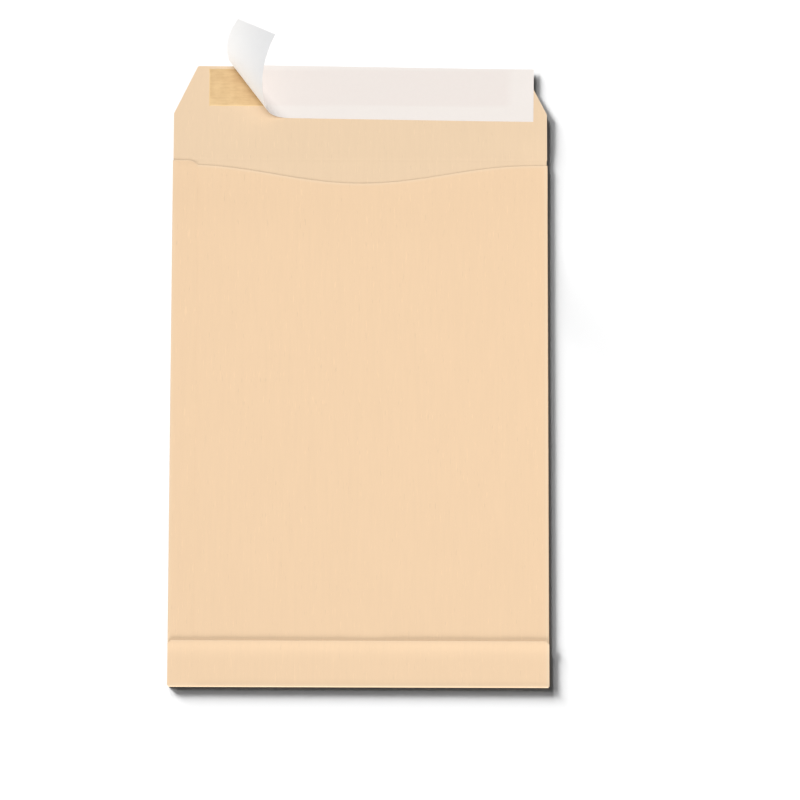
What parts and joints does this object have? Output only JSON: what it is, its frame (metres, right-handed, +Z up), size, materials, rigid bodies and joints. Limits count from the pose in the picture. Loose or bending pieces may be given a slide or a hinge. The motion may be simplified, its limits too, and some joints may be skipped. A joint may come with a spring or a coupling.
{
  "type": "paper envelope",
  "caption": "Large kraft pocket envelope lying back up, with its flap open, a self-seal strip, a partly peeled release liner and a window in its front.",
  "frame": {"origin": "middle of the pocket on its resting face, the outer face of the front panel", "axes": "+Y from the bottom fold to the flap, +Z up from the surface it lies on, +X to the right as seen from above with the flap away from the viewer"},
  "size_m": [0.229, 0.4085, 0.0344],
  "materials": {
    "kraft_paper": "matte",
    "window_film": "satin",
    "adhesive": "satin",
    "liner_paper": "satin"
  },
  "bodies": {
    "root": {"envelope_body": "kraft_paper", "window_film": "window_film", "flap_adhesive": "adhesive", "release_liner": "liner_paper"}
  },
  "joints": []
}
